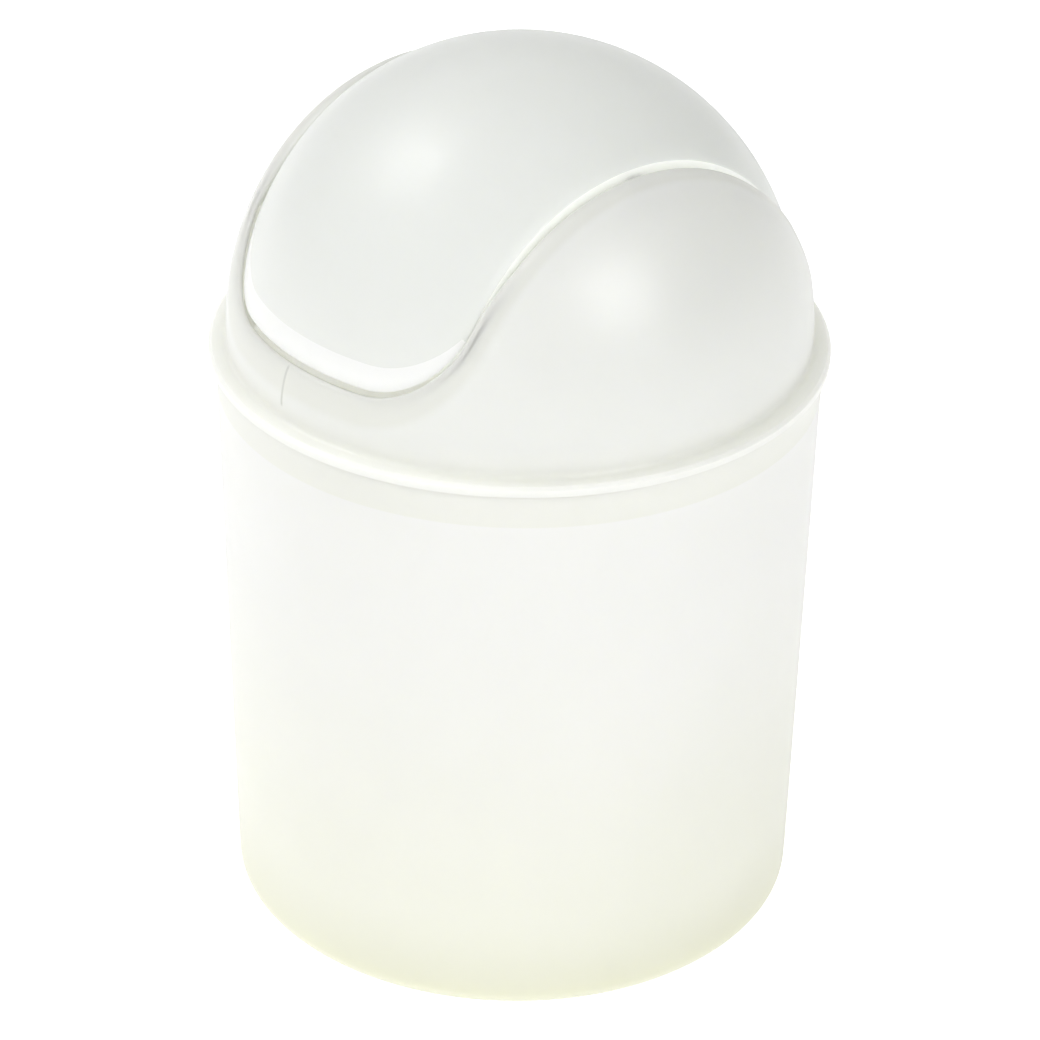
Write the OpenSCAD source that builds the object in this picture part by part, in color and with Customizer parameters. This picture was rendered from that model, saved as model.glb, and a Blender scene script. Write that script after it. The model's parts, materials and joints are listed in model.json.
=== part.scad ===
// Countertop trash can with a domed lid and a flap that swings both ways.
// Millimetres, +Z up. The origin is the centre of the base, on the surface that the can stands on.
// The flap swings about the X axis, so its two tongues point to -Y (front) and +Y (back).

/* [Can] */
// Height of the can, from the base to its rim
can_h = 137; // [110:1:170]
// Outer radius of the can at its top, without the flare of its rim
can_top_r = 68.4; // [60:0.1:80]
// How much smaller that radius is at the base
can_taper = 3; // [0:0.1:6]
// How far the rim flares out beyond the wall
flare_out = 1.2; // [0.4:0.1:2]
// Height of the flared band under the rim
flare_h = 10; // [6:0.5:16]
// Wall thickness of the can
can_wall = 1.6; // [1.2:0.1:2.2]
// Thickness of the can's floor
floor_t = 1.8; // [1.2:0.1:3]
// Radius of the rounded bottom edge
base_round = 3; // [2:0.5:5]
// Width of the ring that the can stands on
foot_w = 3; // [2:0.5:6]
// Height of the recess inside that ring
foot_h = 1.2; // [0.5:0.1:2]

/* [Lid] */
// Thickness of the lid's flange
flange_t = 2.2; // [1.6:0.1:3]
// How far the flange stands out beyond the can's rim
flange_out = 0.4; // [0:0.1:1.5]
// Width of the flange outside the domed cheeks, at their widest
flange_w = 4; // [3:0.1:6]
// Height of the dome's centre above the flange
dome_rise = 3.5; // [1:0.5:6]
// Wall thickness of the dome
lid_wall = 1.5; // [1.2:0.1:2]
// Depth of the skirt that plugs the can's mouth
skirt_h = 8.5; // [5:0.5:14]
// Thickness of that skirt
skirt_t = 1.5; // [1.2:0.1:2.2]
// Gap between the skirt and the can's wall
skirt_gap = 0.35; // [0.3:0.05:0.8]
// How far the opening's border starts to roll inwards beside the flap
roll_side = 6; // [3:0.5:8]
// How far it starts to roll inwards under the flap's tongues
roll_low = 8; // [5:0.5:9]
// Depth of the rolled border beside the flap
roll_depth = 4; // [3:0.5:6]
// Depth of the straight wall below the rolled border beside the flap
border_h = 6; // [3:0.5:9]
// How far the border reaches inwards under the tongues
roll_low_depth = 2; // [1:0.1:2.4]

/* [Flap] */
// How much smaller the flap's dome is than the cheeks', in radius
flap_inset = 3.5; // [3.2:0.1:4.5]
// Height of the flap dome's centre above the flange
flap_rise = 6; // [4:0.5:7]
// Width of the flap between its two straight sides
flap_w = 75.8; // [70:0.2:80]
// Height of the tongues' lower edge above the flange
tongue_z = 14; // [13.5:0.5:17]
// Corner radius of the tongues
tongue_corner = 17.5; // [12:0.5:22]
// Wall thickness of the flap
flap_wall = 1.5; // [1.2:0.1:2]
// Height of the flared lip at the middle of each tongue
lip_h = 5.5; // [3:0.5:7]
// How far the lip's lower edge stands proud of the flap
lip_out = 0.8; // [0.3:0.1:1]
// Depth of the rim that stiffens the flap's edge
rim_depth = 5; // [3:0.5:6]
// Gap between the flap's sides and the border of the opening
side_gap = 0.6; // [0.4:0.1:1]
// Gap between the tongues and the border below them
tongue_gap = 1.2; // [1:0.1:3]

/* [Pivot] */
// How far the pivot lies below the top of the opening's sides
pivot_drop = 9.1; // [8:0.1:12]
// Radius of the flap's pins
pin_r = 2.4; // [2:0.1:3]
// Length of each pin beyond the flap's side
pin_len = 4; // [3.2:0.1:5]
// Radial clearance of the pins in their sockets
pin_gap = 0.08; // [0.05:0.01:0.1]
// Radius of the round boss at each pin and socket
boss_r = 6; // [4.5:0.5:6.5]
// Thickness of each socket's boss
boss_t = 2.8; // [2:0.1:3.2]

/* [Hidden] */
$fn = 96;
can_colour = [0.95, 0.95, 0.91];
lid_colour = [0.93, 0.93, 0.89];
flap_colour = [0.90, 0.91, 0.87];
// Radii of the flange, the cheeks and the flap
flange_r = can_top_r + flare_out + flange_out;
dome_r = flange_r - flange_w;
flap_r = dome_r - flap_inset;
// Heights of the flange's top and of the two dome centres
flange_z = can_h + flange_t;
dome_z = flange_z + dome_rise;
flap_z = flange_z + flap_rise;
// Half widths of the flap and of the opening, and the lower edges of both
flap_x = flap_w / 2;
open_x = flap_x + side_gap;
flap_low = flange_z + tongue_z;
open_low = flap_low - tongue_gap;
open_corner = tongue_corner + side_gap;
// Height of the pivot's axis
axis_z = dome_z + sqrt(dome_r * dome_r - open_x * open_x) - pivot_drop;
// How deep the dome's base is sunk into the flange, and what overlaps inside a solid
sink = flange_t / 2;
bite = 0.2;
far = 2 * (can_h + dome_r);
// Points along a quarter of the opening: beside the flap, round the corner and under the tongue
side_steps = 11;
corner_steps = 6;
low_steps = 4;
// Points over which the border beside the flap grows shallow, just above each corner
taper_steps = 4;
quarter = side_steps + corner_steps + low_steps;
// Rows of facets up the dome's wall and round its rolled border
wall_rows = 8;
roll_rows = 5;

function unit(v) = v / norm(v);
function mix(a, b, s) = a * (1 - s) + b * s;

// Outer radius of the can at height z
function can_r(z) = let (s = max(0, (z - can_h + flare_h) / flare_h))
    can_top_r - can_taper * (1 - z / can_h) + flare_out * s * s;

// Point on a sphere about the dome's centre, on the front side, at a given x and z
function on_dome(r, x, z) = [x, -sqrt(r * r - x * x - (z - dome_z) * (z - dome_z)), z];

// One quarter of the opening's outline on that sphere, from the top of a cheek to the front middle
function quarter_line(r, half, low, corner) =
    let (reach = sqrt(r * r - half * half), last = acos((low + corner - dome_z) / reach))
    [for (k = [0 : quarter])
        k < side_steps ? let (a = last * k / side_steps)
            [half, -reach * sin(a), dome_z + reach * cos(a)]
        : k < side_steps + corner_steps ? let (a = 90 * (k - side_steps) / corner_steps)
            on_dome(r, half - corner + corner * cos(a), low + corner - corner * sin(a))
        : on_dome(r, (half - corner) * (quarter - k) / low_steps, low)];

// The same quarter mirrored into one closed loop
function loop_of(q) = concat(
    [for (k = [0 : quarter - 1]) q[k]],
    [for (k = [quarter : -1 : 1]) [-q[k].x, q[k].y, q[k].z]],
    [for (k = [0 : quarter - 1]) [-q[k].x, -q[k].y, q[k].z]],
    [for (k = [quarter : -1 : 1]) [q[k].x, -q[k].y, q[k].z]]);

// Place of each point along its own quarter, counted from the top of the cheek
function place(k) = let (m = k % (2 * quarter)) m > quarter ? 2 * quarter - m : m;

// Share of each point that belongs to the front or back rather than to a cheek
function low_share(k) = min(1, max(0, (place(k) - side_steps) / corner_steps));

// Share of the way to the shallow border, which starts where the flap's corners pass over it
function shallow_share(k) = min(1, max(0, 1 + (place(k) - side_steps) / taper_steps));

// Direction into the dome, and direction away from the opening, at one point of the outline
function inwards(p, s) = unit(mix(unit([0, -p.y, dome_z - p.z]), unit([-p.x, -p.y, 0]), s));
function away(p, s) = unit(mix([sign(p.x), 0, 0], [0, 0, -1], s));

// Arc from a to b whose ends are tangent to the lines through c
function arc_at(a, c, b, s) = let (w = sqrt(0.5) * 2 * s * (1 - s), u = (1 - s) * (1 - s), v = s * s)
    (a * u + c * w + b * v) / (u + w + v);

// Ring of points round the dome's base on the sphere of radius r
function base_ring(r) = let (z = flange_z - sink, reach = sqrt(r * r - (z - dome_z) * (z - dome_z)))
    [for (k = [0 : 4 * quarter - 1]) let (a = 90 * k / quarter)
        [reach * cos(a), -reach * sin(a), z]];

// Ring at share s of the way up the wall, from the base to the start of the roll
function wall_ring(r, low, high, s) = let (c = [0, 0, dome_z])
    [for (k = [0 : len(low) - 1]) c + r * unit(mix(low[k] - c, high[k] - c, s))];

// Body of the can, a tapered cup with a flared rim, a rounded bottom edge and a foot ring
module can_body() {
    bottom_r = can_top_r - can_taper - base_round;
    color(can_colour) rotate_extrude() polygon(concat(
        [[0, foot_h], [bottom_r - foot_w, foot_h], [bottom_r - foot_w + foot_h / 2, 0]],
        [for (a = [0 : 15 : 90]) [bottom_r + base_round * sin(a), base_round * (1 - cos(a))]],
        [for (s = [0 : 0.125 : 1]) let (z = can_h - flare_h * (1 - s)) [can_r(z), z]],
        [for (s = [1 : -0.125 : 0]) let (z = can_h - flare_h * (1 - s)) [can_r(z) - can_wall, z]],
        [for (a = [90 : -15 : 0]) [bottom_r - can_wall + base_round * sin(a),
            foot_h + floor_t + base_round * (1 - cos(a))]],
        [[0, foot_h + floor_t]]));
}

// Closed shell of the fixed dome, with the border of its opening rolled inwards
module dome_shell() {
    outer_edge = loop_of(quarter_line(dome_r, open_x, open_low, open_corner));
    outer_start = loop_of(quarter_line(dome_r, open_x + roll_side, open_low - roll_low,
        open_corner + roll_side));
    inner_r = dome_r - lid_wall;
    inner_edge = loop_of(quarter_line(inner_r, open_x + lid_wall, open_low - lid_wall,
        open_corner + lid_wall));
    inner_start = loop_of(quarter_line(inner_r, open_x + roll_side, open_low - roll_low,
        open_corner + roll_side));
    count = len(outer_edge);
    marks = [for (k = [0 : count - 1]) k];
    turned = [for (k = marks) outer_edge[k] + inwards(outer_edge[k], low_share(k))
        * mix(roll_depth, roll_low_depth, shallow_share(k))];
    border = [for (k = marks) turned[k] + inwards(outer_edge[k], low_share(k))
        * mix(border_h, lid_wall / 3, shallow_share(k))];
    inner_border = [for (k = marks) border[k] + away(outer_edge[k], low_share(k)) * lid_wall];
    inner_turned = [for (k = marks) turned[k] + away(outer_edge[k], low_share(k)) * lid_wall];
    outer_base = base_ring(dome_r);
    inner_base = base_ring(inner_r);
    rings = concat(
        [for (i = [0 : wall_rows]) wall_ring(dome_r, outer_base, outer_start, i / wall_rows)],
        [for (i = [1 : roll_rows]) [for (k = marks)
            arc_at(outer_start[k], outer_edge[k], turned[k], i / roll_rows)]],
        [border, inner_border],
        [for (i = [0 : roll_rows - 1]) [for (k = marks)
            arc_at(inner_turned[k], inner_edge[k], inner_start[k], i / roll_rows)]],
        [for (i = [0 : wall_rows]) wall_ring(inner_r, inner_base, inner_start, 1 - i / wall_rows)]);
    total = len(rings);
    polyhedron([for (ring = rings) each ring],
        [for (i = [0 : total - 1], k = marks, half = [0, 1])
            let (a = i * count, b = (i + 1) % total * count, n = (k + 1) % count)
            half == 0 ? [a + k, b + n, b + k] : [a + k, a + n, b + n]]);
}

// Lid: a flange that rests on the can's rim, a plug skirt, the dome and two pivot sockets
module lid_base() {
    skirt_low = can_h - skirt_h;
    top_r = can_r(can_h) - can_wall - skirt_gap;
    low_r = can_r(skirt_low) - can_wall - skirt_gap;
    flange_in = dome_r - lid_wall - flange_t / 2;
    color(lid_colour) difference() {
        union() {
            dome_shell();
            rotate_extrude() polygon([[flange_in, can_h], [top_r - skirt_t, can_h],
                [low_r - skirt_t, skirt_low], [low_r, skirt_low], [top_r, can_h],
                [flange_r, can_h], [flange_r, flange_z - flange_t / 3],
                [flange_r - flange_t / 3, flange_z], [flange_in, flange_z]]);
            for (side = [-1, 1]) pivot_disc(side * (open_x + boss_t / 2), boss_r, boss_t);
        }
        for (side = [-1, 1])
            pivot_disc(side * (open_x + boss_t / 2), pin_r + pin_gap, boss_t + 4 * bite);
    }
}

// Disc about the pivot's axis, centred at x
module pivot_disc(x, r, thickness) {
    translate([x, 0, axis_z]) rotate([0, 90, 0]) cylinder(r = r, h = thickness, center = true);
}

// Band across the whole width in y, with straight sides and rounded lower corners
module band(half, low, corner) {
    rotate([90, 0, 0]) linear_extrude(height = far, center = true) {
        translate([-half, low + corner]) square([2 * half, far]);
        translate([corner - half, low]) square([2 * (half - corner), far]);
        for (side = [-1, 1]) translate([side * (half - corner), low + corner]) circle(r = corner);
    }
}

// Ball about the flap dome's centre
module flap_ball(r) {
    translate([0, 0, flap_z]) sphere(r = r);
}

// Radius of the flap's dome at height z
function flap_reach(z) = sqrt(flap_r * flap_r - (z - flap_z) * (z - flap_z));

// Flap: a domed band with an inner rim, a flared lip on each tongue and two pivot pins
module swing_flap() {
    lip_r = flap_reach(flap_low) + lip_out;
    lip_slope = (lip_r - flap_reach(flap_low + lip_h)) / lip_h;
    cone_h = lip_h + 4 * bite;
    color(flap_colour) {
        difference() {
            intersection() {
                flap_ball(flap_r);
                band(flap_x, flap_low, tongue_corner);
            }
            flap_ball(flap_r - flap_wall - rim_depth);
            intersection() {
                flap_ball(flap_r - flap_wall);
                band(flap_x - flap_wall, flap_low + flap_wall, tongue_corner - flap_wall);
            }
        }
        difference() {
            intersection() {
                band(flap_x, flap_low, tongue_corner);
                translate([0, 0, flap_low])
                    cylinder(r1 = lip_r, r2 = lip_r - lip_slope * cone_h, h = cone_h);
            }
            flap_ball(flap_r - flap_wall);
        }
        for (side = [-1, 1]) {
            pivot_disc(side * (flap_x - flap_wall / 2), boss_r, flap_wall);
            pivot_disc(side * (flap_x + pin_len / 2 - bite), pin_r, pin_len + 2 * bite);
        }
    }
}

can_body();
lid_base();
swing_flap();
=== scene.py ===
# %% [markdown]
# A countertop bin with a swing lid.
# The real object is three mouldings of frosted white plastic, most likely polypropylene: a
# tapered can, a lid that lifts off, and a domed flap that swings between the lid's two cheeks.
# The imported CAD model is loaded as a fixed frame, and each moulding is then modelled again as a
# finer shell in the same place, with rounded edges and a procedural finish, so that it can ride
# on its own body.

import json
import math

import bmesh
import bpy
from mathutils import Matrix, Vector


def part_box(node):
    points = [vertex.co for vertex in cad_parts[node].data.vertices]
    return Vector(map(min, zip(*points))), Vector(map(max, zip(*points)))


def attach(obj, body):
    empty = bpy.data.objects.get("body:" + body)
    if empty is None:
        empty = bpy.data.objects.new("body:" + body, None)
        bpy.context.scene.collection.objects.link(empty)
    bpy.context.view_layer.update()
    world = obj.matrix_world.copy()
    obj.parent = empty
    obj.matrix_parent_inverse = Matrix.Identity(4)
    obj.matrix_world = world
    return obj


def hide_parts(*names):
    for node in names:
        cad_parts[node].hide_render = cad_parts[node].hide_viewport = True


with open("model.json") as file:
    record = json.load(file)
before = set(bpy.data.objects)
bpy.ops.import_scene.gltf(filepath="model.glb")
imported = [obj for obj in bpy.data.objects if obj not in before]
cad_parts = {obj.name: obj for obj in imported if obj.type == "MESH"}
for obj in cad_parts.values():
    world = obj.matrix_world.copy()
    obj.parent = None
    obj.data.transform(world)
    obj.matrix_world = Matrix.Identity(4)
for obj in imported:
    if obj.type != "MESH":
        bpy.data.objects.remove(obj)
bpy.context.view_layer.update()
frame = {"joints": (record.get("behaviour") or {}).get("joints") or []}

# %% [markdown]
# Sizes come from the frame wherever a box shows them, such as the can's height or the flange's
# radius. The sizes that no box shows, such as the wall or the radius of a dome, are the real
# ones, in millimetres times MM, because Blender works in metres.

# %% Sizes that the frame gives
MM = 0.001
can_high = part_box("can_body")[1]
lid_low, lid_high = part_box("lid_base")
flap_low, flap_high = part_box("swing_flap")
hinge = next(joint for joint in frame["joints"] if joint["name"] == "flap_swing")
pivot_z = hinge["pos_m"][2]
print("rim at", round(can_high.z / MM, 1), "mm, pivot at", round(pivot_z / MM, 1), "mm")

# %% Sizes of the mouldings
FLANGE_T = 2.2 * MM
flange_z = can_high.z + FLANGE_T
LID_WALL = 1.5 * MM
DOME_R = 66 * MM
dome_z = flange_z + 3.5 * MM
FLAP_WALL = 1.5 * MM
FLAP_R = 62.5 * MM
flap_z = flap_high.z - FLAP_R
FLAP_HALF = 37.9 * MM
TONGUE_CORNER = 17.5 * MM
SIDE_GAP = 0.6 * MM
TONGUE_GAP = 1.2 * MM
tongue_low = flap_low.z
print("flange top at", round(flange_z / MM, 1), "mm, tongues end at", round(tongue_low / MM, 1))

# %% [markdown]
# A few helpers serve every piece. The first turns a bmesh into a finished object: it welds
# doubles, shades smoothly, rounds the edges with a live Bevel modifier and lets the piece stand
# for its CAD node. The others turn all faces outwards, and give the faces that look towards the
# middle of the piece a material of their own, which glows a little with painted light for the
# light that comes through the wall.

# %% Helpers that finish a bmesh
EDGE_ROUND = 0.4 * MM
EDGE_ANGLE = math.radians(38)
WELD = 0.001 * MM
LOOKS_INWARDS = -0.2


def finish_piece(bm, name, body, node, edge_round=EDGE_ROUND):
    bmesh.ops.remove_doubles(bm, verts=bm.verts, dist=WELD)
    for face in bm.faces:
        face.smooth = True
    mesh = bpy.data.meshes.new(name)
    bm.to_mesh(mesh)
    bm.free()
    piece = bpy.data.objects.new(name, mesh)
    bpy.context.scene.collection.objects.link(piece)
    bevel = piece.modifiers.new("rounded edges", "BEVEL")
    bevel.width = edge_round
    bevel.segments = 3
    bevel.limit_method = "ANGLE"
    bevel.angle_limit = EDGE_ANGLE
    bevel.harden_normals = True
    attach(piece, body)
    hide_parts(node)
    print(name, "has", len(mesh.polygons), "faces before its edges are rounded")
    return piece


def face_outwards(bm):
    bmesh.ops.recalc_face_normals(bm, faces=bm.faces)


def paint_inside(bm, centre_z, slot):
    for face in bm.faces:
        outward = face.calc_center_median() - Vector((0, 0, centre_z))
        looks_in = face.normal.dot(outward) < LOOKS_INWARDS * outward.length
        if looks_in and face.material_index == 0:
            face.material_index = slot


# %% [markdown]
# The can is a tapered cup. On the real one the wall leans out by a little over a degree, so
# that the moulding leaves its mould, the rim flares out in a soft cove under the lid, and the
# bottom edge is rounded above a narrow foot ring. All of it is round, so one profile spun about
# the Z axis is enough. It starts and ends on the axis: under the floor, up the outside, over the
# rim, down the inside and across the floor.

# %% Sizes of the can
CAN_WALL = 1.6 * MM
CAN_BASE_R = 65.4 * MM
CAN_TOP_R = 68.4 * MM
FLARE_H = 10 * MM
FLOOR_T = 1.8 * MM
BASE_ROUND = 3 * MM
FOOT_W = 3 * MM
FOOT_H = 1.2 * MM
CAN_EDGE_ROUND = 0.5 * MM


def can_radius(z):
    taper = CAN_BASE_R + (CAN_TOP_R - CAN_BASE_R) * z / can_high.z
    rise = max(0, 1 - (can_high.z - z) / FLARE_H)
    return taper + (can_high.x - CAN_TOP_R) * rise * rise


print("rim radius", round(can_radius(can_high.z) / MM, 2), "mm")

# %% The can's profile
ARC_STEPS = 9
WALL_STEPS = 24
FLARE_STEPS = 12


def shares(count):
    return [k / count for k in range(1, count + 1)]


bottom_r = CAN_BASE_R - BASE_ROUND
arc = [math.pi / 2 * share for share in [0] + shares(ARC_STEPS)]
wall_h = can_high.z - FLARE_H - BASE_ROUND
heights = [BASE_ROUND + wall_h * share for share in shares(WALL_STEPS)]
flare = [can_high.z - FLARE_H * (1 - share) for share in shares(FLARE_STEPS)]
outside = [(can_radius(z), z) for z in heights + flare]
inside = [(r - CAN_WALL, z) for r, z in reversed(outside)]
floor_z = FOOT_H + FLOOR_T
profile = [(0, FOOT_H), (bottom_r - FOOT_W, FOOT_H), (bottom_r - FOOT_W + FOOT_H / 2, 0)]
profile += [(bottom_r + BASE_ROUND * math.sin(a), BASE_ROUND * (1 - math.cos(a))) for a in arc]
profile += outside + inside[:-1]
profile += [(bottom_r - CAN_WALL + BASE_ROUND * math.sin(a),
             floor_z + BASE_ROUND * (1 - math.cos(a))) for a in reversed(arc)]
profile += [(0, floor_z)]
print("the can's profile has", len(profile), "points")

# %% Spin the can
SPIN_STEPS = 192
bm = bmesh.new()
corners = [bm.verts.new((r, 0, z)) for r, z in profile]
edges = [bm.edges.new(pair) for pair in zip(corners, corners[1:])]
bmesh.ops.spin(bm, geom=corners + edges, cent=(0, 0, 0), axis=(0, 0, 1), angle=math.tau,
               steps=SPIN_STEPS, use_merge=True)
bmesh.ops.remove_doubles(bm, verts=bm.verts, dist=WELD)
face_outwards(bm)
paint_inside(bm, can_high.z / 2, 1)
can = finish_piece(bm, "can_shell", "can", "can_body", CAN_EDGE_ROUND)

# %% [markdown]
# The opening of the lid and the edge of the flap have the same outline: straight beside the
# flap, a round corner, and a short straight under each tongue. Seen along Y it is a plain
# slot, and it is wrapped onto a sphere. A formula gives one quarter, from the top of a cheek
# to the middle of the front, and the other three quarters are its mirror images.

# %% The outline on a sphere
SIDE_STEPS = 30
CORNER_STEPS = 16
LOW_STEPS = 10
QUARTER = SIDE_STEPS + CORNER_STEPS + LOW_STEPS
LOOP = 4 * QUARTER


def quarter_point(k, radius, centre_z, half, low, corner):
    if k < SIDE_STEPS:
        reach = math.sqrt(radius ** 2 - half ** 2)
        turn = math.acos((low + corner - centre_z) / reach) * k / SIDE_STEPS
        return Vector((half, -reach * math.sin(turn), centre_z + reach * math.cos(turn)))
    if k < SIDE_STEPS + CORNER_STEPS:
        turn = math.pi / 2 * (k - SIDE_STEPS) / CORNER_STEPS
        x = half - corner + corner * math.cos(turn)
        z = low + corner - corner * math.sin(turn)
    else:
        x = (half - corner) * (QUARTER - k) / LOW_STEPS
        z = low
    return Vector((x, -math.sqrt(radius ** 2 - x ** 2 - (z - centre_z) ** 2), z))


def place_in_quarter(k):
    step = k % (2 * QUARTER)
    return 2 * QUARTER - step if step > QUARTER else step


def outline(*shape):
    points = []
    for k in range(LOOP):
        point = quarter_point(place_in_quarter(k), *shape)
        x_side = 1 if k <= QUARTER or k > 3 * QUARTER else -1
        y_side = 1 if k <= 2 * QUARTER else -1
        points.append(Vector((point.x * x_side, point.y * y_side, point.z)))
    return points


print("the outline has", LOOP, "points")

# %% [markdown]
# Both domed shells are grown from that outline. It is laid as one ring of edges, and the ring
# is extruded again and again, each time to the next set of points. An integer layer keeps each
# vertex's place along the outline through every extrusion, so a new ring can be laid exactly.

# %% Helpers that lay and extrude a ring
def lay_ring(bm, points):
    place = bm.verts.layers.int.get("place") or bm.verts.layers.int.new("place")
    corners = []
    for k, point in enumerate(points):
        corner = bm.verts.new(point)
        corner[place] = k
        corners.append(corner)
    return [bm.edges.new((corners[k - 1], corners[k])) for k in range(len(corners))]


def extrude_ring(bm, edges, points):
    place = bm.verts.layers.int["place"]
    grown = bmesh.ops.extrude_edge_only(bm, edges=edges)["geom"]
    for part in grown:
        if isinstance(part, bmesh.types.BMVert):
            part.co = points[part[place]]
    lifted = {part for part in grown if isinstance(part, bmesh.types.BMVert)}
    return [part for part in grown if isinstance(part, bmesh.types.BMEdge)
            and part.verts[0] in lifted and part.verts[1] in lifted]


def on_sphere(centre, radius, a, b, share):
    return centre + radius * ((a - centre) * (1 - share) + (b - centre) * share).normalized()


def share_between(value, start, span):
    return min(1, max(0, (value - start) / span))


def inwards(point, centre_z, low_share):
    to_x_axis = Vector((0, -point.y, centre_z - point.z)).normalized()
    to_z_axis = Vector((-point.x, -point.y, 0)).normalized()
    return to_x_axis.lerp(to_z_axis, low_share).normalized()


# %% [markdown]
# The fixed dome is the two cheeks and the low walls in front and behind. Its border doesn't end
# in a cut edge: it rolls inwards in a soft bend all round the opening, which stiffens the
# moulding and hides the gap to the flap. The roll is a curve with the sphere's edge as its
# control point, so it leaves the dome smoothly and ends pointing inwards.

# %% Sizes of the lid's border
ROLL_SIDE = 6 * MM
ROLL_LOW = 8 * MM
ROLL_DEPTH = 4 * MM
ROLL_LOW_DEPTH = 2 * MM
BORDER_H = 6 * MM
BORDER_LOW_H = LID_WALL / 3
TAPER_STEPS = 10
ROLL_FULLNESS = 0.6
ROLL_ROWS = 14
WALL_ROWS = 26
open_half = FLAP_HALF + SIDE_GAP
open_low = tongue_low - TONGUE_GAP
open_corner = TONGUE_CORNER + SIDE_GAP
low_shares = [share_between(place_in_quarter(k), SIDE_STEPS, CORNER_STEPS) for k in range(LOOP)]
shallow_shares = [share_between(place_in_quarter(k), SIDE_STEPS - TAPER_STEPS, TAPER_STEPS)
                  for k in range(LOOP)]
print("the opening is", round(2 * open_half / MM, 1), "mm wide")

# %% Lay out the dome's outer and inner skins
inner_r = DOME_R - LID_WALL


def arc_point(a, corner, b, share):
    weights = (1 - share) ** 2, 2 * ROLL_FULLNESS * share * (1 - share), share ** 2
    return (a * weights[0] + corner * weights[1] + b * weights[2]) / sum(weights)


def round_ring(radius, z):
    turns = (math.tau * k / LOOP for k in range(LOOP))
    return [Vector((radius * math.cos(turn), -radius * math.sin(turn), z)) for turn in turns]


def dome_ring(radius, z):
    return round_ring(math.sqrt(radius ** 2 - (z - dome_z) ** 2), z)


def away_from_opening(point, low_share):
    beside = Vector((math.copysign(1, point.x), 0, 0))
    return beside.lerp(Vector((0, 0, -1)), low_share).normalized()


centre = Vector((0, 0, dome_z))
outer_edge = outline(DOME_R, dome_z, open_half, open_low, open_corner)
outer_start = outline(DOME_R, dome_z, open_half + ROLL_SIDE, open_low - ROLL_LOW,
                      open_corner + ROLL_SIDE)
inner_edge = outline(inner_r, dome_z, open_half + LID_WALL, open_low - LID_WALL,
                     open_corner + LID_WALL)
inner_start = outline(inner_r, dome_z, open_half + ROLL_SIDE, open_low - ROLL_LOW,
                      open_corner + ROLL_SIDE)
into_dome = [inwards(point, dome_z, share) for point, share in zip(outer_edge, low_shares)]
sideways = [away_from_opening(point, share) for point, share in zip(outer_edge, low_shares)]
roll_depths = [ROLL_DEPTH + (ROLL_LOW_DEPTH - ROLL_DEPTH) * share for share in shallow_shares]
border_depths = [BORDER_H + (BORDER_LOW_H - BORDER_H) * share for share in shallow_shares]
turned = [outer_edge[k] + into_dome[k] * roll_depths[k] for k in range(LOOP)]
border = [turned[k] + into_dome[k] * border_depths[k] for k in range(LOOP)]
print("the border reaches", round(max(border_depths) / MM, 1), "mm below its roll")

# %% [markdown]
# The flange sits on the can's rim and the skirt below it plugs the mouth. They belong to the
# same moulding as the dome, so the rings run on from the dome's inner skin: along the flange's
# underside, round the skirt, out to the flange's edge and back over its top to the dome's foot.
# The skirt follows the inside of the can's flare, a little clear of it.

# %% Sizes of the flange's ring and the skirt
SKIRT_T = 1.5 * MM
SKIRT_GAP = 0.35 * MM
FLANGE_ROUND = FLANGE_T / 3
FILLET = 1.2 * MM
FILLET_STEPS = 6
skirt_top = can_radius(can_high.z) - CAN_WALL - SKIRT_GAP
skirt_low = can_radius(lid_low.z) - CAN_WALL - SKIRT_GAP
fillet_z = flange_z + FILLET
fillet_r = math.sqrt(DOME_R ** 2 - (fillet_z - dome_z) ** 2)
flange_profile = [(skirt_top - SKIRT_T, can_high.z), (skirt_low - SKIRT_T, lid_low.z),
                  (skirt_low, lid_low.z), (skirt_top, can_high.z), (lid_high.x, can_high.z),
                  (lid_high.x, flange_z - FLANGE_ROUND),
                  (lid_high.x - FLANGE_ROUND, flange_z)]
flange_profile += [(fillet_r + FILLET * (1 - math.cos(turn)), fillet_z - FILLET * math.sin(turn))
                   for turn in (math.pi / 2 * share for share in reversed(shares(FILLET_STEPS)))]
print("the flange's radius is", round(lid_high.x / MM, 1), "mm")

# %% [markdown]
# The lid is one closed skin: up the outside of the dome, over the roll and the border, down the
# dome's inside and round the flange and the skirt, back to the first ring. New faces take the
# material of those they grow from, so each stretch is painted as soon as it is grown.

# %% Helpers that grow and paint rows of rings
def grow(bm, edges, rows):
    for points in rows:
        edges = extrude_ring(bm, edges, points)
    return edges


def wall_rows(radius, low, high):
    return [[on_sphere(centre, radius, low[k], high[k], row / WALL_ROWS) for k in range(LOOP)]
            for row in range(WALL_ROWS + 1)]


def roll_rows(start, edge, end):
    return [[arc_point(start[k], edge[k], end[k], row / ROLL_ROWS) for k in range(LOOP)]
            for row in range(ROLL_ROWS + 1)]


def shifted(points, distance):
    return [points[k] + sideways[k] * distance for k in range(LOOP)]


def paint(bm, first_face, slot):
    bm.faces.ensure_lookup_table()
    for face in bm.faces[first_face:]:
        face.material_index = slot
    return len(bm.faces)


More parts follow.
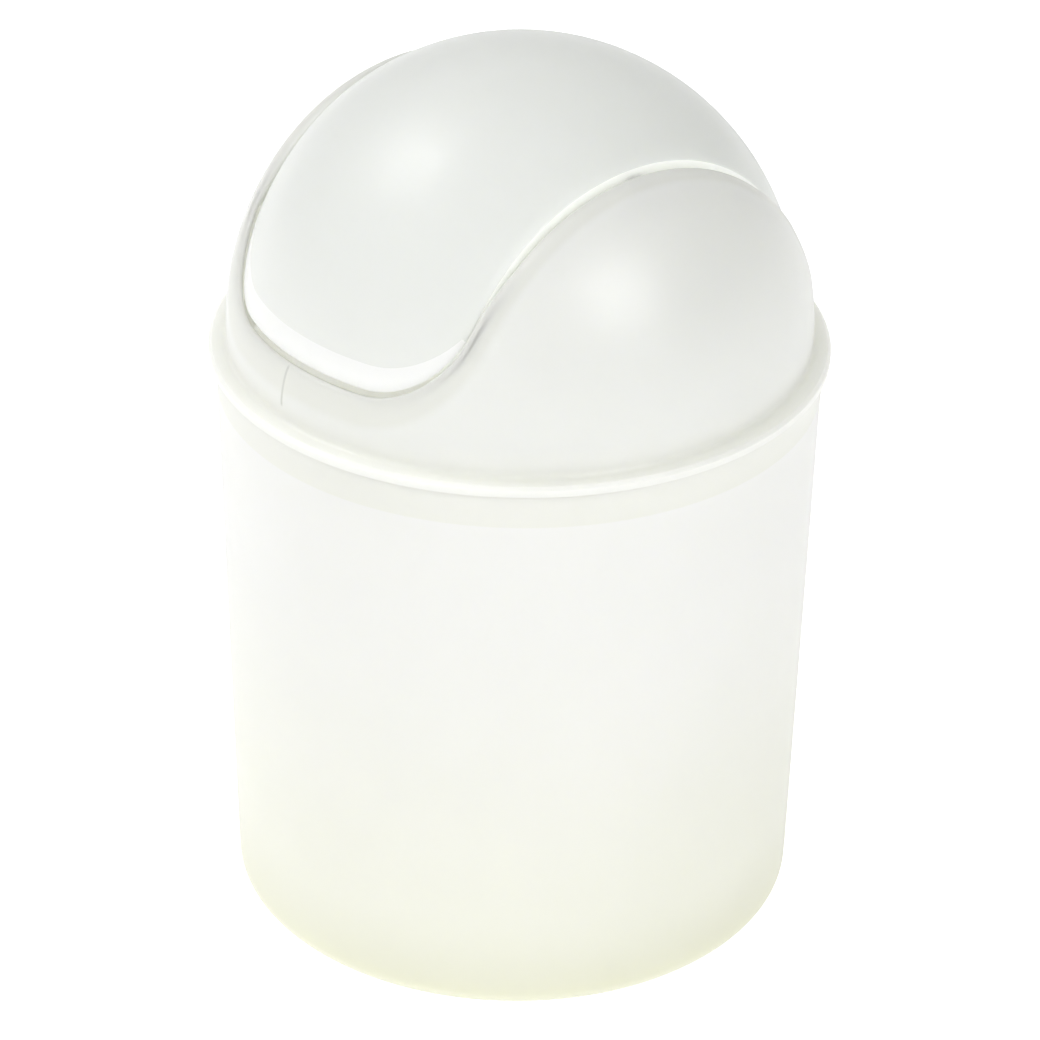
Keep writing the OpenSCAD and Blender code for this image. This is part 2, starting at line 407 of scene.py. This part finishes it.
# %% Grow the lid
bm = bmesh.new()
foot = dome_ring(DOME_R, fillet_z)
edges = grow(bm, lay_ring(bm, foot), wall_rows(DOME_R, foot, outer_start)[1:])
dome_faces = len(bm.faces)
edges = grow(bm, edges, roll_rows(outer_start, outer_edge, turned)[1:]
             + [[turned[k].lerp(border[k], 0.5) for k in range(LOOP)], border]
             + [shifted(border, LID_WALL), shifted(turned, LID_WALL)])
border_faces = paint(bm, dome_faces, 1)
grow(bm, edges, roll_rows(shifted(turned, LID_WALL), inner_edge, inner_start)[1:]
     + wall_rows(inner_r, dome_ring(inner_r, can_high.z), inner_start)[-2::-1]
     + [round_ring(r, z) for r, z in flange_profile] + [foot])
paint(bm, border_faces, 0)
bmesh.ops.remove_doubles(bm, verts=bm.verts, dist=WELD)
reach = max((corner.co - centre).length for corner in bm.verts)
print("the lid's skin has", len(bm.faces), "faces and reaches", round(reach / MM, 1), "mm out")

# %% [markdown]
# Inside each cheek a round socket holds the flap's pin. It is a short ring about the pivot's
# axis: two circles are bridged, and the flat ring between them is extruded. It is kept a little
# narrow, so that no corner of it comes through the thin roll.

# %% Make the sockets
PIN_R = 2.4 * MM
PIN_GAP = 0.08 * MM
SOCKET_R = 4.8 * MM
SOCKET_T = 2.8 * MM
INSET = 0.1 * MM
CIRCLE_STEPS = 64


def along_pivot(x, side):
    return Matrix.Translation((side * x, 0, pivot_z)) @ Matrix.Rotation(side * math.pi / 2, 4, "Y")


def add_socket(bm, side):
    place = along_pivot(open_half + INSET, side)
    circles = [bmesh.ops.create_circle(bm, segments=CIRCLE_STEPS, radius=radius, matrix=place)
               for radius in (SOCKET_R, PIN_R + PIN_GAP)]
    rims = {edge for circle in circles for corner in circle["verts"]
            for edge in corner.link_edges}
    face_ring = bmesh.ops.bridge_loops(bm, edges=list(rims))["faces"]
    grown = bmesh.ops.extrude_face_region(bm, geom=face_ring, use_keep_orig=True)["geom"]
    moved = [part for part in grown if isinstance(part, bmesh.types.BMVert)]
    bmesh.ops.translate(bm, verts=moved, vec=(side * (SOCKET_T - INSET), 0, 0))


for side in (-1, 1):
    add_socket(bm, side)
face_outwards(bm)
paint_inside(bm, dome_z, 2)
lid = finish_piece(bm, "lid_moulding", "lid", "lid_base")

# %% [markdown]
# The flap is a domed band that ends in two tongues. Its skin bends outwards a little along each
# tongue into a lip, which a finger can push, and its edge turns inwards all round as a rim that
# keeps the thin dome stiff. The lip is widest in the middle of the tongue and runs out to a
# narrow band where the side begins, so its width follows the outline's place.

# %% Points of the flap's skin
LIP_H = 5.5 * MM
LIP_OUT = 0.8 * MM
LIP_CURVE = 1.5
EDGE_BAND = 0.9 * MM
RIM_DEPTH = 5 * MM
flap_centre = Vector((0, 0, flap_z))
flap_edge = outline(FLAP_R, flap_z, FLAP_HALF, tongue_low, TONGUE_CORNER)
lip_shares = [math.sin(math.pi / 2 * share) for share in low_shares]


def from_edge(k, distance, lift):
    outward = (flap_edge[k] - flap_centre).normalized()
    along = (flap_edge[(k + 1) % LOOP] - flap_edge[k - 1]).normalized()
    inner = outward.cross(along).normalized()
    if inner.dot(Vector((0, 0, 1))) < 0:
        inner.negate()
    angle = distance / FLAP_R
    aim = outward * math.cos(angle) + inner * math.sin(angle)
    return flap_centre + aim * (FLAP_R + lift)


def lip_width(k):
    return max(EDGE_BAND, LIP_H * lip_shares[k])


def lip_lift(k, share):
    return LIP_OUT * lip_shares[k] ** 2 * share ** LIP_CURVE


def lip_point(k, share):
    return from_edge(k, lip_width(k) * (1 - share), lip_lift(k, share))


lip_edge = [lip_point(k, 1) for k in range(LOOP)]
rim_end = [lip_edge[k] + RIM_DEPTH * inwards(flap_edge[k], flap_z, low_shares[k])
           for k in range(LOOP)]
to_middle = [-away_from_opening(flap_edge[k], low_shares[k]) for k in range(LOOP)]
print("the lip is", round(lip_width(QUARTER) / MM, 1), "mm wide in the middle of a tongue")

# %% [markdown]
# The inside of the flap lies one wall under its skin. It starts a little way in from the edge,
# so that the corner between the crown and the rim keeps a small flat, as a mould would leave it.

# %% Points of the flap's inside
CORNER_ROOM = 1 * MM


def flap_inner_corner(k):
    share = max(0, 1 - FLAP_WALL / lip_width(k))
    return from_edge(k, FLAP_WALL, lip_lift(k, share) - FLAP_WALL)


def flap_inner_start(k):
    return from_edge(k, max(lip_width(k), FLAP_WALL + CORNER_ROOM), -FLAP_WALL)


inner_corners = [flap_inner_corner(k) for k in range(LOOP)]
inner_starts = [flap_inner_start(k) for k in range(LOOP)]
rim_inner_end = [rim_end[k] + to_middle[k] * FLAP_WALL for k in range(LOOP)]
print("inside, the rim is", round((rim_inner_end[0] - inner_corners[0]).length / MM, 1), "mm deep")

# %% [markdown]
# The flap too is one closed skin. It is grown both ways from the top of its lip: up to the top of
# the crown, and down over the lip and the rim to the inside. Only the part of the lip that is
# wider than the band gets the lip's plastic, whose near-white colour is painted light.

# %% Rows of the crown and of a straight wall
CROWN_ROWS = 40
LIP_ROWS = 3
RIM_ROWS = 3


def crown_rows(start, radius):
    top = flap_centre + Vector((0, 0, radius))
    rows = [[on_sphere(flap_centre, radius, start[k], top, row / CROWN_ROWS)
             for k in range(LOOP)] for row in range(1, CROWN_ROWS)]
    return rows + [[top.copy() for k in range(LOOP)]]


def straight_rows(start, end, count):
    return [[start[k].lerp(end[k], row / count) for k in range(LOOP)]
            for row in range(1, count + 1)]


# %% Grow the flap from the top of its lip
bm = bmesh.new()
lip_start = [lip_point(k, 0) for k in range(LOOP)]
ring = lay_ring(bm, lip_start)
grow(bm, ring, crown_rows(lip_start, FLAP_R))
crown_faces = len(bm.faces)
edges = grow(bm, ring, [[lip_point(k, row / LIP_ROWS) for k in range(LOOP)]
                        for row in range(1, LIP_ROWS + 1)])
lip_faces = len(bm.faces)
edges = grow(bm, edges, straight_rows(lip_edge, rim_end, RIM_ROWS) + [rim_inner_end]
             + straight_rows(rim_inner_end, inner_corners, RIM_ROWS))
rim_faces = paint(bm, lip_faces, 2)
grow(bm, edges, [inner_starts] + crown_rows(inner_starts, FLAP_R - FLAP_WALL))
paint(bm, rim_faces, 0)
place = bm.verts.layers.int["place"]
# the lip's faces get the plastic whose near-white colour is painted light
for face in bm.faces[crown_faces:lip_faces]:
    if all(LIP_H * lip_shares[corner[place]] > EDGE_BAND for corner in face.verts):
        face.material_index = 1
bmesh.ops.remove_doubles(bm, verts=bm.verts, dist=WELD)
reach = max((corner.co - flap_centre).length for corner in bm.verts)
print("the flap reaches", round(reach / MM, 2), "mm from its centre")

# %% [markdown]
# The pins are moulded on the flap's two sides, each on a round boss. They snap into the lid's
# sockets, so their ends get a small round from the Bevel modifier.

# %% Add the pins and their bosses
BOSS_R = 6 * MM
pin_len = flap_high.x - FLAP_HALF
wall_x = FLAP_HALF - FLAP_WALL / 2


def add_disc(bm, x, side, radius, depth):
    bmesh.ops.create_cone(bm, cap_ends=True, segments=CIRCLE_STEPS, radius1=radius,
                          radius2=radius, depth=depth, matrix=along_pivot(x, side))


for side in (-1, 1):
    add_disc(bm, wall_x, side, BOSS_R, FLAP_WALL - 2 * INSET)
    add_disc(bm, wall_x + pin_len / 2, side, PIN_R, pin_len + FLAP_WALL)
face_outwards(bm)
paint_inside(bm, flap_z, 3)
flap = finish_piece(bm, "flap_moulding", "flap", "swing_flap")

# %% [markdown]
# The plastic is frosted: light goes a few millimetres into it and comes out softened, so the
# material is a Principled BSDF with subsurface scattering. What varies over the surface makes it a
# moulding and not a computer's white. The skin has a fine grain, from the mould, and fingers leave
# faint patches that are a little glossier. The tone changes between heights and with the depth
# below a domed skin. Some of these changes are painted shade, where something stands close behind
# the wall or where the border rolls inwards. The mould left one fine line on the lid. Each is a
# node group, built once, that puts out a height or a mask.

# %% Helpers that make nodes
def new_group(name, output, inputs=()):
    group = bpy.data.node_groups.new(name, "ShaderNodeTree")
    group.interface.new_socket("Place", in_out="INPUT", socket_type="NodeSocketVector")
    for label, kind, value in inputs:
        socket = group.interface.new_socket(label, in_out="INPUT", socket_type=kind)
        socket.default_value = value
    group.interface.new_socket(output, in_out="OUTPUT", socket_type="NodeSocketFloat")
    return group, group.nodes.new("NodeGroupInput"), group.nodes.new("NodeGroupOutput")


def math_node(tree, operation):
    node = tree.nodes.new("ShaderNodeMath")
    node.operation = operation
    return node


def vector_node(tree, operation):
    node = tree.nodes.new("ShaderNodeVectorMath")
    node.operation = operation
    return node


def noise_node(tree, place, scale, detail, roughness=0.5):
    node = tree.nodes.new("ShaderNodeTexNoise")
    node.inputs["Scale"].default_value = scale
    node.inputs["Detail"].default_value = detail
    node.inputs["Roughness"].default_value = roughness
    tree.links.new(place, node.inputs["Vector"])
    return node


def range_node(tree, value, low, high, to_low=0.0, to_high=1.0):
    node = tree.nodes.new("ShaderNodeMapRange")
    node.interpolation_type = "SMOOTHSTEP"
    node.inputs["From Min"].default_value = low
    node.inputs["From Max"].default_value = high
    node.inputs["To Min"].default_value = to_low
    node.inputs["To Max"].default_value = to_high
    tree.links.new(value, node.inputs["Value"])
    return node


# %% The mould's grain
GRAIN_SCALE = 2600
RIPPLE_SCALE = 90
RIPPLE_WEIGHT = 3.5


def make_grain_group():
    tree, start, end = new_group("mould grain", "Height")
    fine = noise_node(tree, start.outputs["Place"], GRAIN_SCALE, 2)
    ripple = noise_node(tree, start.outputs["Place"], RIPPLE_SCALE, 3)
    total = math_node(tree, "MULTIPLY_ADD")
    total.inputs[1].default_value = RIPPLE_WEIGHT
    tree.links.new(ripple.outputs["Fac"], total.inputs[0])
    tree.links.new(fine.outputs["Fac"], total.inputs[2])
    tree.links.new(total.outputs["Value"], end.inputs["Height"])
    return tree


grain_group = make_grain_group()
print("made the group", grain_group.name)

# %% Patches left by fingers
PATCH_SCALE = 38
PATCH_ROUGHNESS = 0.6
PATCH_EDGE = (0.48, 0.72)


def make_handling_group():
    tree, start, end = new_group("finger patches", "Mask")
    cloud = noise_node(tree, start.outputs["Place"], PATCH_SCALE, 4, PATCH_ROUGHNESS)
    mask = range_node(tree, cloud.outputs["Fac"], *PATCH_EDGE)
    tree.links.new(mask.outputs["Result"], end.inputs["Mask"])
    return tree


handling_group = make_handling_group()
print("made the group", handling_group.name)

# %% A band between two heights, for tones, painted shade and a painted glow
def fade_between(tree, value, full, none):
    node = range_node(tree, value, 0, 1, 1, 0)
    tree.links.new(full, node.inputs["From Min"])
    tree.links.new(none, node.inputs["From Max"])
    return node.outputs["Result"]


def make_height_band_group():
    tree, start, end = new_group("height band", "Mask", [("From", "NodeSocketFloat", 0.0),
                                                        ("To", "NodeSocketFloat", 1.0)])
    split = tree.nodes.new("ShaderNodeSeparateXYZ")
    tree.links.new(start.outputs["Place"], split.inputs["Vector"])
    mask = fade_between(tree, split.outputs["Z"], start.outputs["From"], start.outputs["To"])
    tree.links.new(mask, end.inputs["Mask"])
    return tree


height_band_group = make_height_band_group()
print("made the group", height_band_group.name)

# %% The depth below a domed skin
def make_depth_group():
    tree, start, end = new_group("below the skin", "Mask",
                                 [("Centre", "NodeSocketVector", (0, 0, 0)),
                                  ("Inner", "NodeSocketFloat", 0.0),
                                  ("Outer", "NodeSocketFloat", 1.0)])
    reach = vector_node(tree, "DISTANCE")
    tree.links.new(start.outputs["Place"], reach.inputs[0])
    tree.links.new(start.outputs["Centre"], reach.inputs[1])
    mask = fade_between(tree, reach.outputs["Value"], start.outputs["Inner"],
                        start.outputs["Outer"])
    tree.links.new(mask, end.inputs["Mask"])
    return tree


depth_group = make_depth_group()
print("made the group", depth_group.name)

# %% A fine line down the middle of the front, where the mould was filled
LINE_CORE = 0.15 * MM
LINE_EDGE = 0.5 * MM
LINE_FADE = 1 * MM


def make_line_group():
    tree, start, end = new_group("mould line", "Mask", [("Low", "NodeSocketFloat", 0.0),
                                                        ("High", "NodeSocketFloat", 1.0)])
    split = tree.nodes.new("ShaderNodeSeparateXYZ")
    tree.links.new(start.outputs["Place"], split.inputs["Vector"])
    aside = math_node(tree, "ABSOLUTE")
    tree.links.new(split.outputs["X"], aside.inputs[0])
    masks = [range_node(tree, aside.outputs["Value"], LINE_CORE, LINE_EDGE, 1, 0),
             range_node(tree, split.outputs["Y"], -LINE_FADE, LINE_FADE, 1, 0)]
    for label, below, above in (("Low", 0, 1), ("High", 1, 0)):
        limit = math_node(tree, "ADD")
        limit.inputs[1].default_value = LINE_FADE
        tree.links.new(start.outputs[label], limit.inputs[0])
        line_end = range_node(tree, split.outputs["Z"], 0, 1, below, above)
        tree.links.new(start.outputs[label], line_end.inputs["From Min"])
        tree.links.new(limit.outputs["Value"], line_end.inputs["From Max"])
        masks.append(line_end)
    mask = masks[0].outputs["Result"]
    for node in masks[1:]:
        product = math_node(tree, "MULTIPLY")
        tree.links.new(mask, product.inputs[0])
        tree.links.new(node.outputs["Result"], product.inputs[1])
        mask = product.outputs["Value"]
    tree.links.new(mask, end.inputs["Mask"])
    return tree


line_group = make_line_group()
print("made the group", line_group.name)

# %% [markdown]
# One function makes the plastic, and each moulding gets its own values: a first tone, and further
# tones with the place where each takes over, some of which are painted shade or painted light. It
# also gets a weak glow, which is painted light, where light comes through the wall from behind.
# The grain goes through a Bump node, and the finger patches lower the roughness a little. Uniform
# values stay on the shader's own sockets.

# %% Places that a tone can be laid on
def from_height(full, none):
    return height_band_group, {"From": full, "To": none}


def below_skin(centre_z, full, none):
    return depth_group, {"Centre": (0, 0, centre_z), "Inner": full, "Outer": none}


def mix_node(tree, first, second):
    node = tree.nodes.new("ShaderNodeMix")
    node.data_type = "RGBA"
    node.inputs["A"].default_value = (*first, 1)
    node.inputs["B"].default_value = (*second, 1)
    return node


# %% Values that all the plastics share
REFRACTION = 1.49
SHINE = 0.7
CLEARNESS = 0.25
SCATTER = 5 * MM
SCATTER_SHARES = (1.0, 1.0, 0.9)
ROUGHNESS = 0.42
TOUCHED_ROUGHNESS = 0.35
CLOUD_SCALE = 14
CLOUD_NOISE = (0.3, 0.7)
CLOUD_SHADES = (0.975, 1.015)
GRAIN_STRENGTH = 0.12
GRAIN_HEIGHT = 0.06 * MM
WALL_LIGHT = (1.0, 1.0, 0.95)
INSIDE_LIGHT = 0.1
FLANGE_LIGHT = 0.06
LIP_LIGHT = 0.03
RIM_LIGHT = 0.2

# %% The frosted plastic
def frosted_plastic(name, tone, layers, glow=0.0, glow_place=None):
    material = bpy.data.materials.new(name)
    material.use_nodes = True
    tree = material.node_tree
    shader = tree.nodes["Principled BSDF"]
    shader.inputs["IOR"].default_value = REFRACTION
    shader.inputs["Specular IOR Level"].default_value = SHINE
    shader.inputs["Transmission Weight"].default_value = CLEARNESS
    shader.inputs["Subsurface Weight"].default_value = 1
    shader.inputs["Subsurface Radius"].default_value = SCATTER_SHARES
    shader.inputs["Subsurface Scale"].default_value = SCATTER
    # the glow is painted light, for light that comes through the wall from behind
    shader.inputs["Emission Color"].default_value = (*WALL_LIGHT, 1)
    shader.inputs["Emission Strength"].default_value = glow
    place = tree.nodes.new("ShaderNodeTexCoord").outputs["Object"]

    def placed(group, values=None):
        node = tree.nodes.new("ShaderNodeGroup")
        node.node_tree = group
        tree.links.new(place, node.inputs["Place"])
        for label, value in (values or {}).items():
            node.inputs[label].default_value = value
        return node

    colour = None
    for next_tone, where in layers:
        layer = mix_node(tree, tone, next_tone)
        if colour:
            tree.links.new(colour, layer.inputs["A"])
        tree.links.new(placed(*where).outputs["Mask"], layer.inputs["Factor"])
        colour = layer.outputs["Result"]
    cloud = noise_node(tree, place, CLOUD_SCALE, 3)
    shade = range_node(tree, cloud.outputs["Fac"], *CLOUD_NOISE, *CLOUD_SHADES)
    clouded = vector_node(tree, "SCALE")
    tree.links.new(colour, clouded.inputs["Vector"])
    tree.links.new(shade.outputs["Result"], clouded.inputs["Scale"])
    tree.links.new(clouded.outputs["Vector"], shader.inputs["Base Color"])
    touched = placed(handling_group).outputs["Mask"]
    rough = range_node(tree, touched, 0, 1, ROUGHNESS, TOUCHED_ROUGHNESS)
    tree.links.new(rough.outputs["Result"], shader.inputs["Roughness"])
    if glow_place:
        light = mix_node(tree, (0, 0, 0), WALL_LIGHT)
        tree.links.new(placed(*glow_place).outputs["Mask"], light.inputs["Factor"])
        tree.links.new(light.outputs["Result"], shader.inputs["Emission Color"])
    bump = tree.nodes.new("ShaderNodeBump")
    bump.inputs["Strength"].default_value = GRAIN_STRENGTH
    bump.inputs["Distance"].default_value = GRAIN_HEIGHT
    tree.links.new(placed(grain_group).outputs["Height"], bump.inputs["Height"])
    tree.links.new(bump.outputs["Normal"], shader.inputs["Normal"])
    return material


def give_plastics(piece, *plastics):
    for plastic in plastics:
        piece.data.materials.append(frosted_plastic(*plastic))
    print(piece.name, "has", [material.name for material in piece.data.materials])


# %% [markdown]
# The can is whitest under the lid and a little yellower and darker towards its foot, where less
# light reaches it. The lid's skirt stands behind the wall just under the flange. Its shade is
# painted into the can's colour as a faint darker band, which stays on the can when the lid is
# lifted.

# %% The can's plastics
skirt_edge = lid_low.z
can_tone = (0.92, 0.925, 0.88)
low_wall = (0.89, 0.90, 0.75), from_height(0, 110 * MM)
foot_shade = (0.72, 0.72, 0.58), from_height(-8 * MM, 26 * MM)
# painted shade: a faint darker band where the lid's skirt stands behind the wall
painted_skirt_shade = (0.88, 0.89, 0.80), from_height(skirt_edge + 0.2 * MM, skirt_edge - 0.2 * MM)
give_plastics(can, ("can plastic", can_tone, [low_wall, foot_shade, painted_skirt_shade]),
              ("can plastic inside", can_tone, [low_wall, foot_shade], INSIDE_LIGHT))

# %% [markdown]
# The lid is whitest at the dome's foot, and the border is painted with shade where it rolls
# inwards. The flange glows a little with painted light, because light comes up through it.

# %% The lid's plastics
dome_tone = (0.85, 0.865, 0.82)
low_dome = (0.90, 0.91, 0.84), from_height(flange_z, flange_z + 8 * MM)
border_shade = (0.795, 0.805, 0.74), below_skin(dome_z, DOME_R - 0.3 * MM, DOME_R - 0.02 * MM)
mould_line = (0.62, 0.63, 0.58), (line_group, {"Low": flange_z + 3 * MM,
                                                "High": flange_z + 12 * MM})
rim_of_flange = from_height(flange_z + 0.2 * MM, flange_z + 2 * MM)
give_plastics(lid, ("lid plastic", dome_tone, [low_dome, mould_line], FLANGE_LIGHT, rim_of_flange),
              ("border plastic", dome_tone, [low_dome, border_shade, mould_line]),
              ("lid plastic inside", dome_tone, [low_dome], INSIDE_LIGHT))

# %% [markdown]
# The flap is the greyest moulding, and a little lighter towards its tongues. Its lip's near-white
# colour is painted light, and the rim behind it glows a little with painted light for the light
# that comes from below.

# %% The flap's plastics
tongue_height = from_height(tongue_low, tongue_low + 30 * MM)
flap_tone = (0.81, 0.835, 0.80)
low_flap = (0.83, 0.85, 0.81), tongue_height
# painted light: the lip's near-white tone stands in for the light on the lip
lip_painted_bright = (0.96, 0.965, 0.945)
low_lip_painted_bright = (0.97, 0.975, 0.955), tongue_height
give_plastics(flap, ("flap plastic", flap_tone, [low_flap]),
              ("lip plastic painted bright", lip_painted_bright, [low_lip_painted_bright], LIP_LIGHT),
              ("rim plastic", flap_tone, [low_flap], RIM_LIGHT),
              ("flap plastic inside", flap_tone, [low_flap], INSIDE_LIGHT))

# %% [markdown]
# The stage is a white floor under a white sky. The photograph is lit softly and almost from
# everywhere, with one broad light high on the left and one lower on the right of the camera.
# The sky is brightest on the camera's side and dimmer behind the bin, and a dark part of it on
# the right makes the right cheek the greyest part.

# %% Directions seen from the camera
AZIMUTH = 51.0
ELEVATION = 30.46
LOOK_Z = 90.4 * MM
look_at = Vector((0, 0, LOOK_Z))


def direction(azimuth, elevation):
    a, e = math.radians(AZIMUTH + azimuth), math.radians(elevation)
    return Vector((math.sin(a) * math.cos(e), -math.cos(a) * math.cos(e), math.sin(e)))


print("the camera stands towards", [round(c, 2) for c in direction(0, ELEVATION)])

# %% A white floor that glows, like a light table
FLOOR_REACH = 6
FLOOR_GREY = 0.35
bm = bmesh.new()
bmesh.ops.create_grid(bm, x_segments=1, y_segments=1, size=FLOOR_REACH)
floor_mesh = bpy.data.meshes.new("floor")
bm.to_mesh(floor_mesh)
bm.free()
floor = bpy.data.objects.new("floor", floor_mesh)
bpy.context.scene.collection.objects.link(floor)
floor_paint = bpy.data.materials.new("floor paint")
floor_paint.use_nodes = True
floor_shader = floor_paint.node_tree.nodes["Principled BSDF"]
floor_shader.inputs["Base Color"].default_value = (FLOOR_GREY, FLOOR_GREY, FLOOR_GREY, 1)
floor_shader.inputs["Roughness"].default_value = 1
floor_shader.inputs["Specular IOR Level"].default_value = 0
floor_shader.inputs["Emission Color"].default_value = (1, 1, 1, 1)
floor_shader.inputs["Emission Strength"].default_value = 1
floor.data.materials.append(floor_paint)
print("the floor is", round(floor.dimensions.x, 1), "m wide")

# %% A white sky that is dimmer behind and darkest on the right
BRIGHT_SKY = 1.22
DIM_SKY = 0.65
SKY_SPAN = 0.9
SHADE_SPAN = (0.25, 0.9)
DEEPEST_SHADE = 0.05
sky = bpy.data.worlds.new("white sky")
bpy.context.scene.world = sky
sky.use_nodes = True
tree = sky.node_tree
background = tree.nodes["Background"]
background.inputs["Color"].default_value = (1, 1, 1, 1)
towards = tree.nodes.new("ShaderNodeTexCoord").outputs["Generated"]


def sky_part(middle, low, high, to_low, to_high):
    closeness = vector_node(tree, "DOT_PRODUCT")
    closeness.inputs[1].default_value = middle
    tree.links.new(towards, closeness.inputs[0])
    return range_node(tree, closeness.outputs["Value"], low, high, to_low, to_high)


brightness = sky_part(direction(-12, -5), -SKY_SPAN, SKY_SPAN, DIM_SKY, BRIGHT_SKY)
shade = sky_part(direction(72, 10), *SHADE_SPAN, 1, DEEPEST_SHADE)
strength = math_node(tree, "MULTIPLY")
tree.links.new(brightness.outputs["Result"], strength.inputs[0])
tree.links.new(shade.outputs["Result"], strength.inputs[1])
tree.links.new(strength.outputs["Value"], background.inputs["Strength"])
print("the sky's strength is", DIM_SKY, "behind the bin and", BRIGHT_SKY, "in front of it")

# %% Two softboxes
BOX_DISTANCE = 1.4


def add_softbox(name, azimuth, elevation, size, power):
    lamp = bpy.data.lights.new(name, "AREA")
    lamp.shape = "DISK"
    lamp.size = size
    lamp.energy = power
    box = bpy.data.objects.new(name, lamp)
    box.location = look_at + BOX_DISTANCE * direction(azimuth, elevation)
    box.rotation_euler = (look_at - box.location).to_track_quat("-Z", "Y").to_euler()
    bpy.context.scene.collection.objects.link(box)
    print("softbox", name, "at", [round(c, 2) for c in box.location])


add_softbox("high left", azimuth=-109, elevation=54, size=0.5, power=4.4)
add_softbox("front right", azimuth=43, elevation=33, size=0.45, power=7)

# %% [markdown]
# The photograph is bright, and its background is blown out to white. The plain view transform
# shows that: a radiance of one is white on the screen.

# %% View
bpy.context.scene.view_settings.view_transform = "Standard"

# %% [markdown]
# The camera looks down at the bin from a metre away through a long lens, so that the can's
# sides stay almost parallel. It is turned by the little roll that the photograph has.

# %% Camera
CAMERA_DISTANCE = 998 * MM
LENS = 149.7
ROLL = math.radians(0.9)
SIDE_STEP = 0.7 * MM
lens = bpy.data.cameras.new("camera")
lens.lens = LENS
camera = bpy.data.objects.new("camera", lens)
camera.location = look_at + CAMERA_DISTANCE * direction(0, ELEVATION)
facing = (look_at - camera.location).to_track_quat("-Z", "Y")
camera.location += facing @ Vector((SIDE_STEP, 0, 0))
camera.rotation_mode = "QUATERNION"
camera.rotation_quaternion = facing @ Matrix.Rotation(ROLL, 3, "Z").to_quaternion()
bpy.context.scene.collection.objects.link(camera)
bpy.context.scene.camera = camera
print("the camera stands at", [round(c, 2) for c in camera.location])
